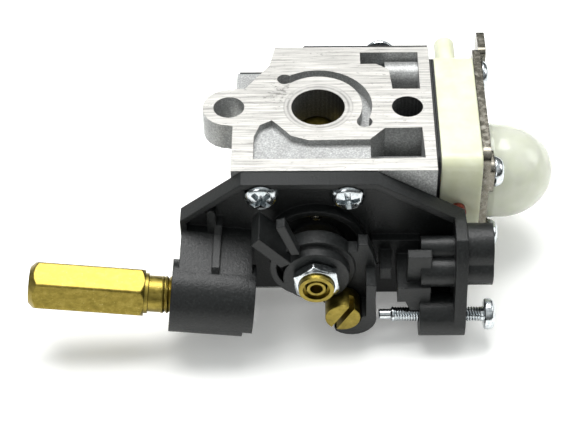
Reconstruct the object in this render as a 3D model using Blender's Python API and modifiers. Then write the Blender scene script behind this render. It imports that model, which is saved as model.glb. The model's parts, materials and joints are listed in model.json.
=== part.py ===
"""Rotary-valve carburetor for a small two-stroke engine, as an assembly of separate solids.

Sizes are in millimetres until MM turns them into Blender's metres. X runs along the cable and
the idle screw, towards the primer bulb. Y runs along the throttle rotor, away from its lever.
Z is the main bore's axis: the engine flange lies on Z = 0 and the air filter face is on top.
"""

import math

import bmesh
import bpy
from mathutils import Matrix, Vector

MM = 0.001
GAP = 0.1  # between fastened pieces
RUN = 0.3  # round a piece that turns or slides
MANY_SHAPES = ("throttle_bracket",)

# Body casting
BODY_HEIGHT = 29.0
BODY_X = (-14.7, 19.9)
BODY_Y = (-16.0, 16.2)
SHELF_Z = 22.8  # the back left corner is lower than the top face
BORE_RADIUS = 4.65
BOLT_RADIUS = 2.7
BOLT_X = 15.5
EAR_RADIUS = 4.6
EAR_THICKNESS = 5.5
TRAY_DEPTH = 1.2
DEEP_POCKET_DEPTH = 9.0
ELL_POCKET_DEPTH = 7.0
GROOVE_CENTRE = (0.0, 0.4)
GROOVE_RADII = (9.4, 7.7)
GROOVE_DEPTH = 2.4

# Throttle rotor, its lever and the cable line
ROTOR_X = -0.45
ROTOR_Z = BODY_HEIGHT / 2
ROTOR_RADIUS = 7.9
ROTOR_Y = (-14.0, 8.8)
THROTTLE_DEG = 68.0
ROTOR_LIFT = 1.6
SHAFT_RADIUS = 3.0
SHAFT_FRONT = -29.8
HUB_Y = (-26.9, -22.1)
HUB_RADIUS = 6.6
LEVER_BACK = -20.4
SWIVEL_X = 4.0
SWIVEL_Z = 7.1
SWIVEL_RADIUS = 3.0
CABLE_Y = -27.0
CABLE_TILT = math.radians(6.5)
HEX_X = (-49.3, -29.9)
HEX_ACROSS = 7.8
HEX_SPIN = math.radians(11)
THREAD_X = (-30.4, -14.6)
THREAD_RADIUS = 3.2
THREAD_FIT = 0.1
NUT_Y = (-28.85, -26.95)
NUT_ACROSS = 2 * SHAFT_RADIUS + 1.3

# Bracket
PLATE_Y = (-17.7, -16.1)
RIM_Y = -19.3
CABLE_BOSS_RADIUS = 6.2
CABLE_BOSS_X = (-25.4, -11.3)
IDLE_Z = 5.3
IDLE_RADIUS = 1.3
IDLE_X = (10.2, 30.1)
IDLE_BOSS_RADIUS = 3.7
IDLE_BOSS_X = (17.1, 24.5)
UPPER_TUBE, UPPER_TUBE_RADIUS = (-22.0, 16.6), 4.2
LOWER_TUBE, LOWER_TUBE_RADIUS = (-24.2, 14.2), 3.1
TUBE_X = (17.2, 29.3)
BRACKET_SCREWS = ((-9.7, 25.4), (4.9, 25.2))

# Stack on the right face: gasket, diaphragm, purge body, retainer plate, bulb
GASKET_X = (20.0, 20.3)
DIAPHRAGM_X = (20.4, 20.65)
PURGE_X = (20.75, 27.75)
PLATE_X = (27.85, 29.25)
STACK_Y = (-13.7, 15.0)
STACK_Z = (0.5, 28.6)
BULB_Y, BULB_Z = -0.9, 14.5
BULB_RADIUS = 8.4
BULB_TIP = 41.8
BULB_SEAT_RADIUS = 9.5
BULB_DOME_X = 32.2
BULB_WALL = 0.8
CHAMBER_Y, CHAMBER_Z, CHAMBER_RADIUS = 3.5, 14.5, 9.5
STACK_SCREWS = ((-9.3, 22.2), (12.3, 25.4), (12.3, 3.6), (-9.3, 6.8))
STACK_HOLE_RADIUS = 1.6
PAD_HEIGHT = 0.8  # the plate's front corners are pressed outwards
TAB_X = (28.95, 30.35)
NIPPLE_X, NIPPLE_RADIUS, NIPPLE_END = 23.3, 1.83, 22.0

# Stack on the back face: gasket, diaphragm, cover
PUMP_GASKET_Y = (16.3, 16.6)
PUMP_DIAPHRAGM_Y = (16.7, 16.95)
PUMP_COVER_Y = (17.05, 18.85)
PUMP_SCREW_X, PUMP_SCREW_Z = 11.3, 25.0
PUMP_CHAMBER, PUMP_CHAMBER_RADIUS = (2.6, 12.0), 6.5
SCREEN_X, SCREEN_Z, SCREEN_RADIUS = -9.5, 12.0, 2.6

# Screws: shank and head radii of the three kinds
BRACKET_SHANK, BRACKET_HEAD = 1.4, 3.05
STACK_SHANK, STACK_HEAD = 1.25, 2.7
PUMP_HEAD = 2.9
TAPPED = 0.1  # a tapped hole is this much larger than its screw

# Metering lever, in the chamber behind the purge body
LEVER_PIN_X, LEVER_PIN_Z = 17.2, 12.5
LEVER_Y = 7.4
NEEDLE_Z = 9.5


def new_collection(name):
    found = bpy.data.collections.new(name)
    bpy.context.scene.collection.children.link(found)
    return found


def material(name, colour, roughness, metallic=0.0):
    made = bpy.data.materials.new(name)
    made.use_nodes = True
    shader = made.node_tree.nodes["Principled BSDF"]
    shader.inputs["Base Color"].default_value = (*colour, 1.0)
    shader.inputs["Roughness"].default_value = roughness
    shader.inputs["Metallic"].default_value = metallic
    made.diffuse_color = (*colour, 1.0)
    return made


def smooth(mesh):
    mesh.shade_smooth()
    mesh.set_sharp_from_angle(angle=math.radians(35))


def add(name, mesh, finish=None):
    """An object in the assembly or, with no finish, a hidden helper for a Boolean."""
    obj = bpy.data.objects.new(name, mesh)
    obj.parent = ROOT
    if finish is None:
        HELPERS.objects.link(obj)
        obj.hide_render = True
        obj.display_type = "WIRE"
    else:
        PARTS.objects.link(obj)
        obj.data.materials.append(finish)
    return obj


def box(name, low, high, finish=None):
    """A box between two corners."""
    size = Vector(high) - Vector(low)
    centre = (Vector(high) + Vector(low)) / 2
    block = bmesh.new()
    place = Matrix.Translation(centre * MM) @ Matrix.Diagonal((*(size * MM), 1.0))
    bmesh.ops.create_cube(block, size=1.0, matrix=place)
    mesh = bpy.data.meshes.new(name)
    block.to_mesh(mesh)
    block.free()
    return add(name, mesh, finish)


def along(axis):
    """The turn that takes local Z to an axis, and local X and Y to the other two in order."""
    return {
        "X": Matrix(((0, 0, 1), (1, 0, 0), (0, 1, 0))),
        "Y": Matrix(((1, 0, 0), (0, 0, -1), (0, 1, 0))),
        "Z": Matrix.Identity(3),
    }[axis].to_4x4()


def spot(axis, u, v, w):
    """The point w along an axis, at (u, v) in the plane across it."""
    return {"X": Vector((w, u, v)), "Y": Vector((u, w, v)), "Z": Vector((u, v, w))}[axis]


def rod(name, axis, centre, radius, ends, finish=None, sides=24, far_radius=None):
    """A cylinder along an axis, or a cone frustum where the far end has its own radius."""
    low, high = ends
    far = radius if far_radius is None else far_radius
    if axis == "Y":
        radius, far = far, radius
    middle = spot(axis, *centre, (low + high) / 2)
    solid = bmesh.new()
    bmesh.ops.create_cone(
        solid,
        cap_ends=True,
        segments=sides,
        radius1=radius * MM,
        radius2=far * MM,
        depth=(high - low) * MM,
        matrix=Matrix.Translation(middle * MM) @ along(axis),
    )
    mesh = bpy.data.meshes.new(name)
    solid.to_mesh(mesh)
    solid.free()
    smooth(mesh)
    return add(name, mesh, finish)


def slab(name, axis, outline, ends, finish=None):
    """A flat outline, in the plane across an axis, with thickness from one end to the other."""
    low, high = ends
    curve = bpy.data.curves.new(name, "CURVE")
    curve.dimensions = "2D"
    curve.fill_mode = "BOTH"
    curve.extrude = (high - low) / 2 * MM
    spline = curve.splines.new("POLY")
    spline.points.add(len(outline) - 1)
    for point, (u, v) in zip(spline.points, outline):
        point.co = (u * MM, v * MM, 0, 1)
    spline.use_cyclic_u = True
    flat = bpy.data.objects.new(name + "_curve", curve)
    HELPERS.objects.link(flat)
    graph = bpy.context.evaluated_depsgraph_get()
    mesh = bpy.data.meshes.new_from_object(flat.evaluated_get(graph))
    bpy.data.objects.remove(flat)
    bpy.data.curves.remove(curve)
    mesh.name = name
    welded = bmesh.new()
    welded.from_mesh(mesh)
    bmesh.ops.remove_doubles(welded, verts=welded.verts, dist=1e-6)
    bmesh.ops.recalc_face_normals(welded, faces=welded.faces)
    welded.to_mesh(mesh)
    welded.free()
    mesh.transform(Matrix.Translation(spot(axis, 0, 0, (low + high) / 2) * MM) @ along(axis))
    return add(name, mesh, finish)


def turned(name, axis, centre, profile, finish=None, steps=28):
    """A profile of (radius, distance along the axis) turned round the axis through the centre.

    The profile runs down its outer side, from the highest distance to the lowest.
    """
    points = [(r * MM, 0, w * MM) for r, w in profile]
    edges = [(i, i + 1) for i in range(len(points) - 1)]
    if profile[0][0] > 0:
        edges.append((len(points) - 1, 0))
    mesh = bpy.data.meshes.new(name)
    mesh.from_pydata(points, edges, [])
    obj = add(name, mesh, finish)
    screw = obj.modifiers.new("Turn", "SCREW")
    screw.steps = screw.render_steps = steps
    screw.use_merge_vertices = True
    screw.merge_threshold = 1e-6
    screw.use_normal_calculate = True
    graph = bpy.context.evaluated_depsgraph_get()
    solid = bpy.data.meshes.new_from_object(obj.evaluated_get(graph))
    obj.modifiers.remove(screw)
    outward = bmesh.new()
    outward.from_mesh(solid)
    bmesh.ops.remove_doubles(outward, verts=outward.verts, dist=1e-6)
    bmesh.ops.recalc_face_normals(outward, faces=outward.faces)
    outward.to_mesh(solid)
    outward.free()
    turn = along(axis)
    if axis == "Y":
        turn = turn @ Matrix.Diagonal((1, 1, -1, 1))
        solid.flip_normals()
    solid.transform(Matrix.Translation(spot(axis, *centre, 0) * MM) @ turn)
    solid.name = name
    obj.data = solid
    smooth(solid)
    return obj


def coil(name, axis, centre, radius, wire, ends, turns, finish):
    """A helical spring, as a bevelled curve."""
    low, high = ends
    steps = turns * 11
    curve = bpy.data.curves.new(name, "CURVE")
    curve.dimensions = "3D"
    curve.bevel_depth = wire / 2 * MM
    curve.bevel_resolution = 1
    curve.use_fill_caps = True
    spline = curve.splines.new("POLY")
    spline.points.add(steps)
    for i, point in enumerate(spline.points):
        angle = 2 * math.pi * turns * i / steps
        u = centre[0] + radius * math.cos(angle)
        v = centre[1] + radius * math.sin(angle)
        w = low + wire / 2 + (high - low - wire) * i / steps
        point.co = (*(spot(axis, u, v, w) * MM), 1)
    guide = bpy.data.objects.new(name + "_curve", curve)
    HELPERS.objects.link(guide)
    graph = bpy.context.evaluated_depsgraph_get()
    mesh = bpy.data.meshes.new_from_object(guide.evaluated_get(graph))
    bpy.data.objects.remove(guide)
    bpy.data.curves.remove(curve)
    mesh.name = name
    welded = bmesh.new()
    welded.from_mesh(mesh)
    bmesh.ops.remove_doubles(welded, verts=welded.verts, dist=1e-7)
    bmesh.ops.recalc_face_normals(welded, faces=welded.faces)
    welded.to_mesh(mesh)
    welded.free()
    smooth(mesh)
    return add(name, mesh, finish)


def combine(target, operation, others):
    """Booleans on a target. The bracket's many joined shapes need the MANIFOLD solver."""
    for other in others:
        boolean = target.modifiers.new(other.name, "BOOLEAN")
        boolean.operation = operation
        boolean.object = other
        if target.name in MANY_SHAPES:
            boolean.solver = "MANIFOLD"


def cut(target, *cutters):
    combine(target, "DIFFERENCE", cutters)


def join(target, *others):
    combine(target, "UNION", others)


def tilt(obj):
    """Turns a helper or a piece made level onto the cable's sloping line, about the swivel."""
    pivot = Matrix.Translation(Vector((SWIVEL_X, CABLE_Y, SWIVEL_Z)) * MM)
    obj.data.transform(pivot @ Matrix.Rotation(CABLE_TILT, 4, "Y") @ pivot.inverted())
    return obj


def pivot_at(obj, x, y, z):
    """Puts a moving piece's origin on its joint's axis."""
    point = Vector((x, y, z)) * MM
    obj.data.transform(Matrix.Translation(-point))
    obj.location = point


def arc(centre, radius, start, end, steps):
    """Points along an arc, with angles in degrees from the first axis towards the second."""
    angles = [math.radians(start + (end - start) * i / steps) for i in range(steps + 1)]
    return [(centre[0] + radius * math.cos(a), centre[1] + radius * math.sin(a)) for a in angles]


def rounded(low, high, radius, steps=4):
    """A rectangle with round corners."""
    corners = (
        (high[0] - radius, high[1] - radius, 0),
        (low[0] + radius, high[1] - radius, 90),
        (low[0] + radius, low[1] + radius, 180),
        (high[0] - radius, low[1] + radius, 270),
    )
    return [p for x, y, a in corners for p in arc((x, y), radius, a, a + 90, steps)]


def pan_screw(name, axis, centre, seat, tip, radius, head_radius, head):
    """A pan-head screw: the head stands from its seat away from the tip, with a cross recess."""
    half_width, half_length, depth = 0.4, head_radius * 0.55, 1.0
    away = 1 if seat > tip else -1
    top = seat + away * head
    shank = sorted((tip, seat + away * 0.5))
    screw = rod(name, axis, centre, radius, shank, FINISH["zinc"], 16)
    dome = [(0, head), (head_radius * 0.6, head * 0.96), (head_radius * 0.9, head * 0.65)]
    dome += [(head_radius, head * 0.3), (head_radius, 0), (0, 0)]
    if away > 0:
        profile = [(r, seat + h) for r, h in dome]
    else:
        profile = [(r, seat - h) for r, h in reversed(dome)]
    join(screw, turned(name + "_head", axis, centre, profile, None, 20))
    near, far = sorted((top + away * GAP, top - away * depth))
    for number, (u, v) in enumerate(((half_width, half_length), (half_length, half_width))):
        low = spot(axis, centre[0] - u, centre[1] - v, near)
        high = spot(axis, centre[0] + u, centre[1] + v, far)
        cut(screw, box(f"{name}_recess_{number}", low, high))


def make_body():
    """The casting: a block with a lower back left shelf, two ears, the bores and the pockets."""
    shoulder = [(-7.7, BODY_Y[1]), (-8.6, 11.2), (-12.8, 4.9), (BODY_X[0], 4.9)]
    top = [(BODY_X[0], BODY_Y[0]), (BODY_X[1], BODY_Y[0]), (BODY_X[1], BODY_Y[1])] + shoulder
    body = slab("body", "Z", top, (0.0, BODY_HEIGHT), FINISH["aluminium"])
    shelf = box("shelf", (BODY_X[0], 4.0, 0), (-7.0, BODY_Y[1], SHELF_Z))
    ears = (
        ("top_ear", (BODY_HEIGHT - EAR_THICKNESS, BODY_HEIGHT)),
        ("flange_ear", (0.0, EAR_THICKNESS)),
    )
    outline = arc((-BOLT_X, 0), EAR_RADIUS, 75, 270, 12) + [(-13.0, -5.4), (-13.0, 4.9)]
    join(body, shelf, *(slab(name, "Z", outline, ends) for name, ends in ears))
    cut(body, *bottom_pocket(), *side_pocket(), *groove())
    join(body, *screw_bosses())
    through = (-1.0, BODY_HEIGHT + 1)
    cut(
        body,
        rod("main_bore", "Z", (0, 0), BORE_RADIUS, through, None, 36),
        rod("left_bolt_hole", "Z", (-BOLT_X, 0), BOLT_RADIUS, through),
        rod("right_bolt_hole", "Z", (BOLT_X, 0), BOLT_RADIUS, through),
        rod(
            "rotor_bore", "Y", (ROTOR_X, ROTOR_Z), ROTOR_RADIUS + RUN,
            (BODY_Y[0] - 1, ROTOR_Y[1] + RUN), None, 36,
        ),
        rod("nozzle_hole", "Y", (ROTOR_X, ROTOR_Z), 1.3, (8, 17)),
        rod("nozzle_seat", "Y", (ROTOR_X, ROTOR_Z), 2.4, (13.0, 17)),
        rod("pump_chamber", "Y", PUMP_CHAMBER, PUMP_CHAMBER_RADIUS, (15.2, 17)),
        rod("screen_seat", "Y", (SCREEN_X, SCREEN_Z), SCREEN_RADIUS + RUN, (14.7, 17), None, 20),
        rod("pump_screw_hole", "Y", (PUMP_SCREW_X, PUMP_SCREW_Z), STACK_SHANK + TAPPED, (9.5, 17), None, 16),
        *chamber(),
    )
    for number, centre in enumerate(BRACKET_SCREWS):
        name = f"bracket_hole_{number}"
        cut(body, rod(name, "Y", centre, BRACKET_SHANK + TAPPED, (-17, -9.4), None, 16))
    for number, centre in enumerate(STACK_SCREWS):
        name = f"stack_hole_{number}"
        cut(body, rod(name, "X", centre, STACK_SHANK + TAPPED, (12.4, 21), None, 16))


def bottom_pocket():
    """A shallow tray below the bore and, to its right, a deep pocket."""
    tray = [(-11.0, -13.1), (10.4, -13.1), (10.4, -8.3), (-1.5, -8.5), (-4.6, -7.4)]
    tray += [(-6.9, -4.6), (-8.0, -3.4), (-10.0, -4.6), (-11.0, -7.6)]
    deep = [(8.9, -13.1), (18.0, -12.9), (17.8, -5.4), (11.4, -5.5), (8.9, -8.2)]
    return (
        slab("tray", "Z", tray, (BODY_HEIGHT - TRAY_DEPTH, BODY_HEIGHT + 1)),
        slab("deep_pocket", "Z", deep, (BODY_HEIGHT - DEEP_POCKET_DEPTH, BODY_HEIGHT + 1)),
    )


def side_pocket():
    """The L-shaped pocket at the back right corner."""
    ell = [(7.6, 11.5), (10.4, 11.5), (12.6, 10.0), (13.1, 4.7), (17.9, 4.7), (17.9, 14.7)]
    ell.append((7.6, 14.7))
    return (slab("ell_pocket", "Z", ell, (BODY_HEIGHT - ELL_POCKET_DEPTH, BODY_HEIGHT + 1)),)


def groove():
    """The curved groove over the bore, from a drilled end on the left to one on the right."""
    outer, inner = GROOVE_RADII
    ring = arc(GROOVE_CENTRE, outer, 128, -28, 20) + arc(GROOVE_CENTRE, inner, -30, 130, 18)
    depth = (BODY_HEIGHT - GROOVE_DEPTH, BODY_HEIGHT + 1)
    return (
        slab("groove", "Z", ring, depth),
        rod("groove_left", "Z", (-5.9, 7.4), 1.3, depth, None, 16),
        rod("groove_right", "Z", (8.0, -3.9), 1.35, (BODY_HEIGHT - 5, BODY_HEIGHT + 1), None, 16),
    )


def screw_bosses():
    """Bosses that cross the pockets and hold the threads of the upper stack screws."""
    front, back = STACK_SCREWS[0], STACK_SCREWS[1]
    return (
        rod("front_screw_boss", "X", front, 2.7, (8.5, 18.5)),
        rod("back_screw_boss", "X", back, 2.6, (12.0, 18.5)),
    )


def chamber():
    """The metering chamber: a shallow round recess, and the deep pocket that holds the lever."""
    face = BODY_X[1]
    return (
        rod(
            "chamber_recess", "X", (CHAMBER_Y, CHAMBER_Z), CHAMBER_RADIUS,
            (face - 1.2, face + 1), None, 32,
        ),
        box("lever_pocket", (14.2, 4.4, 7.0), (face - 1, 10.4, 20.4)),
        rod("needle_bore", "X", (LEVER_Y, NEEDLE_Z), 1.4, (9.6, 15.0), None, 16),
    )


def bracket_outline(inset):
    """The bracket's upper outline, with its sides and top moved in by the inset."""
    return [
        (-13.0 + 0.3 * inset, 28.9 - inset),
        (9.8 - 0.3 * inset, 28.9 - inset),
        (24.9 - inset, 19.8 - 0.7 * inset),
    ]


def make_bracket():
    """The moulded cover and cable bracket: plate, rim, cable boss, idle boss, ribs and stops."""
    lower = [(24.9, 9.0), (23.0, 0.7), (8.0, 0.7), (5.0, 2.2), (-14.4, 2.2), (-15.0, 16.0)]
    lower += [(-23.5, 17.0), (-23.5, 20.4)]
    outline = bracket_outline(0) + lower
    bracket = slab("throttle_bracket", "Y", outline, (RIM_Y, PLATE_Y[1]), FINISH["plastic"])
    open_below = [(23.8, 0), (-22.4, 0), (-22.4, 20.0)]
    cut(bracket, slab("rim_inside", "Y", bracket_outline(1.1) + open_below, (-20, PLATE_Y[0])))
    join(
        bracket,
        rod("rotor_ring", "Y", (ROTOR_X, ROTOR_Z), 8.5, (-19.7, -17.0), None, 32),
        box("ledge", (9.0, RIM_Y, 9.0), (17.3, -17.0, 15.6)),
        box("idle_stop", (10.4, -24.0, 11.0), (12.4, -17.0, 13.5)),
        *wide_open_stop(),
        *left_boss(),
        *right_boss(),
    )
    cable = (CABLE_Y, SWIVEL_Z)
    cut(
        bracket,
        rod("ring_dish", "Y", (ROTOR_X, ROTOR_Z), 7.4, (-21, -18.4), None, 32),
        rod("seal_pocket", "Y", (ROTOR_X, ROTOR_Z), 5.0, (-21, -17.2)),
        rod("shaft_hole", "Y", (ROTOR_X, ROTOR_Z), SHAFT_RADIUS + RUN, (-21, -15)),
        rod("ball_pocket", "Y", (ROTOR_X, ROTOR_Z + 6.2), 1.1, (-21, -17.0), None, 12),
        *(
            rod(f"screw_hole_{n}", "Y", centre, 1.7, (-21, -15), None, 16)
            for n, centre in enumerate(BRACKET_SCREWS)
        ),
        *(
            rod(f"head_room_{n}", "Y", centre, 3.35, (-21, PLATE_Y[0]), None, 24)
            for n, centre in enumerate(BRACKET_SCREWS)
        ),
        tilt(rod("adjuster_hole", "X", cable, THREAD_RADIUS + THREAD_FIT, (-28, THREAD_X[1] + 1))),
        tilt(rod("cable_hole", "X", cable, 1.6, (-15, -6), None, 12)),
        tilt(box("boss_notch", (-12.9, -34, SWIVEL_Z - 8), (-6, CABLE_Y - 1, SWIVEL_Z - 1.6))),
        rod("idle_hole", "X", (CABLE_Y, IDLE_Z), IDLE_RADIUS + THREAD_FIT, (14, 26), None, 16),
        rod("upper_tube_hole", "X", UPPER_TUBE, 2.2, (24.0, 31), None, 16),
        rod("lower_tube_hole", "X", LOWER_TUBE, 1.5, (24.0, 31), None, 16),
    )
    return bracket


def left_boss():
    """The cable boss, the web that joins it to the plate, and a stiffening bar down to the boss."""
    web = [(-16.5, 15.1), (-19.3, 15.1), (-27.0, 13.2), (-25.0, 8.0), (-21.0, 10.5), (-16.5, 10.5)]
    bar = arc((-18.1, 22.3), 0.75, 0, 180, 6) + [(-18.9, 14.0), (-17.4, 14.0)]
    ridge = [(-17.0, 14.0), (-17.0, 18.0), (-19.6, 17.2), (-20.4, 15.8), (-26.6, 14.3)]
    ridge += [(-27.6, 12.6), (-24.0, 12.0)]
    boss = rod("cable_boss", "X", (CABLE_Y, SWIVEL_Z), CABLE_BOSS_RADIUS, CABLE_BOSS_X, None, 32)
    return (
        tilt(boss),
        tilt(slab("cable_web", "X", web, (-24.4, -12.0))),
        slab("stiffener", "Y", bar, (-19.6, -17.0)),
        tilt(slab("stiffener_foot", "X", ridge, (-18.9, -17.6))),
    )


def right_boss():
    """The end rib, the idle screw's boss and the two guard tubes."""
    idle = (CABLE_Y, IDLE_Z)
    rib = [(-16.5, 19.9), (-20.5, 21.2), (-24.6, 21.0), (-27.4, 18.2), (-28.9, 12.6), (-30.7, 6.0)]
    rib += arc(idle, IDLE_BOSS_RADIUS, 180, 270, 6) + [(-16.5, 2.4)]
    web = [(-16.5, 3.4), (CABLE_Y, 3.4), (CABLE_Y, 1.8), (-16.5, 1.8)]
    return (
        slab("end_rib", "X", rib, (22.9, 24.9)),
        rod("idle_boss", "X", idle, IDLE_BOSS_RADIUS, IDLE_BOSS_X, None, 24),
        slab("idle_web", "X", web, (17.5, 24.0)),
        rod("upper_tube", "X", UPPER_TUBE, UPPER_TUBE_RADIUS, (24.0, TUBE_X[1]), None, 28),
        rod("upper_tube_neck", "X", UPPER_TUBE, 2.0, (TUBE_X[0], 24.1), None, 24),
        rod("lower_tube", "X", LOWER_TUBE, LOWER_TUBE_RADIUS, (24.0, TUBE_X[1]), None, 24),
        rod("lower_tube_neck", "X", (-24.6, 13.5), 2.6, (TUBE_X[0], 24.1), None, 24),
    )


def wide_open_stop():
    """A square post, and a wider block low on its front."""
    low = [(13.3, 12.4), (13.3, 9.0), (14.7, 9.0), (15.6, 6.8), (18.0, 6.8), (18.9, 8.4), (18.9, 12.4)]
    return (
        box("stop_post", (14.9, -26.0, 8.4), (18.9, -24.2, 18.4)),
        slab("stop_block", "Y", low, (-27.5, -17.0)),
    )


def make_lever():
    """The throttle lever: hub, two-prong fork, curved guard, arm, and the wall round the swivel."""
    axis = (ROTOR_X, ROTOR_Z)
    plastic = FINISH["plastic"]
    lever = rod("throttle_lever", "Y", axis, HUB_RADIUS, (-25.0, HUB_Y[1]), plastic, 32)
    fork = (-26.9, LEVER_BACK)
    lower_prong = [(-11.2, 22.3), (-6.4, 17.0), (-4.6, 18.0), (-9.9, 23.9)]
    upper_prong = [(-7.0, 26.4), (-4.6, 20.0), (-3.2, 20.2), (-5.6, 26.9)]
    guard = arc((-1.3, 16.8), 6.95, 160, 242, 9) + arc((-1.3, 16.8), 5.85, 242, 160, 9)
    end = arc((5.6, 6.5), 4.2, 10, -130, 10)
    arm = [(5.0, 18.4), (6.5, 18.4), (6.6, 20.0), (8.2, 20.0), (9.0, 17.7), (9.7, 15.1), (9.5, 9.0)]
    arm += end + [(-2.0, 9.0)]
    wall = [(7.9, 15.0), (9.6, 14.6), (9.5, 9.0)] + end + [(2.0, 6.0), (8.0, 7.0)]
    join(
        lever,
        rod("hub_front", "Y", axis, 5.6, (HUB_Y[0], -24.5), None, 28),
        slab("lower_prong", "Y", lower_prong, fork),
        slab("upper_prong", "Y", upper_prong, (fork[0], -24.9)),
        slab("guard", "Y", guard, (HUB_Y[0], -22.4)),
        slab("arm", "Y", arm, (-24.6, HUB_Y[1])),
        slab("swivel_wall", "Y", wall, (-29.0, -24.0)),
    )
    cut(
        lever,
        rod("swivel_room", "Y", (SWIVEL_X, SWIVEL_Z), SWIVEL_RADIUS + RUN, (-30, -24.6), None, 28),
        rod("swivel_stem_hole", "Y", (SWIVEL_X, SWIVEL_Z), 1.9, (-26, -21), None, 16),
        rod("lever_shaft_hole", "Y", axis, SHAFT_RADIUS + GAP, (-30, -20)),
    )
    pivot_at(lever, ROTOR_X, HUB_Y[1], ROTOR_Z)


def make_rotor():
    """The brass rotor: a barrel with its cross hole turned to idle, and the stepped shaft."""
    axis = (ROTOR_X, ROTOR_Z)
    rotor = rod("throttle_rotor", "Y", axis, ROTOR_RADIUS, ROTOR_Y, FINISH["brass"], 36)
    join(rotor, rod("shaft", "Y", axis, SHAFT_RADIUS, (SHAFT_FRONT, ROTOR_Y[0] + 1)))
    open_hole = rod("cross_hole", "Z", (0, 0), BORE_RADIUS, (-12, 12), None, 36)
    open_hole.data.transform(Matrix.Rotation(math.radians(-THROTTLE_DEG), 4, "Y"))
    open_hole.location = Vector((ROTOR_X, ROTOR_LIFT, ROTOR_Z)) * MM
    spring_room = [(5.6, -10.0), (5.6, -14.6), (3.6, -14.6), (3.6, -10.0)]
    cut(
        rotor,
        open_hole,
        turned("spring_room", "Y", axis, spring_room, None, 24),
        rod("nozzle_room", "Y", axis, 1.6, (0, 10), None, 16),
        rod("needle_room", "Y", axis, 1.9, (SHAFT_FRONT - 1, -8), None, 16),
        rod("needle_passage", "Y", axis, 0.9, (-9, 1), None, 12),
        rod("shaft_mouth", "Y", axis, 2.3, (SHAFT_FRONT - 1, SHAFT_FRONT + 0.9), None, 20),
    )
    pivot_at(rotor, ROTOR_X, 0, ROTOR_Z)


def make_needle():
    """The mixture needle: a hollow-headed screw in the shaft, with a thin needle to the nozzle."""
    axis = (ROTOR_X, ROTOR_Z)
    needle = rod("mixture_needle", "Y", axis, 1.6, (SHAFT_FRONT + 0.3, -20), FINISH["brass"], 20)
    join(needle, rod("needle_stem", "Y", axis, 0.55, (-20.5, 2.5), None, 12))
    cut(needle, rod("needle_socket", "Y", axis, 1.1, (SHAFT_FRONT - 1, SHAFT_FRONT + 2.6), None, 16))
    pivot_at(needle, ROTOR_X, 0, ROTOR_Z)


def make_nut():
    """The nut that holds the lever on the shaft."""
    axis = (ROTOR_X, ROTOR_Z)
    nut = rod("lever_nut", "Y", axis, NUT_ACROSS / math.sqrt(3), NUT_Y, FINISH["zinc"], 6)
    pivot = Matrix.Translation(Vector((ROTOR_X, 0, ROTOR_Z)) * MM)
    nut.data.transform(pivot @ Matrix.Rotation(math.radians(-8), 4, "Y") @ pivot.inverted())
    cut(nut, rod("nut_hole", "Y", axis, SHAFT_RADIUS + GAP, (-30, -26)))
    pivot_at(nut, ROTOR_X, 0, ROTOR_Z)


def make_swivel():
    """The cable's swivel: a slotted brass drum on a stem."""
    axis = (SWIVEL_X, SWIVEL_Z)
    swivel = rod("cable_swivel", "Y", axis, SWIVEL_RADIUS, (-29.5, -24.9), FINISH["brass"], 28)
    join(swivel, rod("swivel_stem", "Y", axis, 1.6, (-25.2, -21.7), None, 16))
    slot = box("swivel_slot", (-5, -31, -0.5), (5, -26.7, 0.5))
    slot.data.transform(Matrix.Rotation(math.radians(-60), 4, "Y"))
    slot.location = Vector((SWIVEL_X, 0, SWIVEL_Z)) * MM
    cut(swivel, slot)
    pivot_at(swivel, SWIVEL_X, 0, SWIVEL_Z)


def make_idle_screw():
    """The idle screw: slotted head, threaded shank and a thinner tip towards the lever."""
    axis = (CABLE_Y, IDLE_Z)
    tip, face = IDLE_X
    screw = rod("idle_screw", "X", axis, IDLE_RADIUS, (tip + 2, face - 1.5), FINISH["zinc"], 16)
    head = [(0, face), (2.1, face), (2.7, face - 0.5), (2.7, face - 1.9), (0, face - 1.9)]
    join(
        screw,
        rod("idle_tip", "X", axis, 0.9, (tip, tip + 2.4), None, 12),
        turned("idle_head", "X", axis, head, None, 20),
    )
    slot_low = (face - 0.8, CABLE_Y - 4, IDLE_Z - 0.4)
    cut(screw, box("idle_slot", slot_low, (face + 1, CABLE_Y + 4, IDLE_Z + 0.4)))
    pivot_at(screw, IDLE_BOSS_X[1], CABLE_Y, IDLE_Z)


def make_adjuster():
    """The cable adjuster: a long brass hexagon, a neck and a thread, drilled for the cable."""
    axis = (CABLE_Y, SWIVEL_Z)
    corner = HEX_ACROSS / math.sqrt(3)
    adjuster = rod("cable_adjuster", "X", axis, corner, HEX_X, FINISH["brass"], 6)
    spin = Matrix.Translation(Vector((0, CABLE_Y, SWIVEL_Z)) * MM)
    adjuster.data.transform(spin @ Matrix.Rotation(HEX_SPIN, 4, "X") @ spin.inverted())
    join(adjuster, tilt(rod("adjuster_thread", "X", axis, THREAD_RADIUS, THREAD_X)))
    cut(
        adjuster,
        tilt(rod("cable_way", "X", axis, 1.0, (HEX_X[0] - 2, -10), None, 12)),
        tilt(rod("sleeve_seat", "X", axis, 2.6, (HEX_X[0] - 2, HEX_X[0] + 8), None, 20)),
    )
    tilt(adjuster)
    mouth = CABLE_BOSS_X[0]
    pivot_at(adjuster, mouth, CABLE_Y, SWIVEL_Z + (SWIVEL_X - mouth) * math.tan(CABLE_TILT))


def stack_outline(margin=0.0, radius=2.4):
    low = (STACK_Y[0] + margin, STACK_Z[0] + margin)
    high = (STACK_Y[1] - margin, STACK_Z[1] - margin)
    return rounded(low, high, radius)


def stack_holes(target):
    cutters = [
        rod(f"{target.name}_hole_{n}", "X", centre, STACK_HOLE_RADIUS, (19, 31), None, 16)
        for n, centre in enumerate(STACK_SCREWS)
    ]
    cut(target, *cutters)


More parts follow.
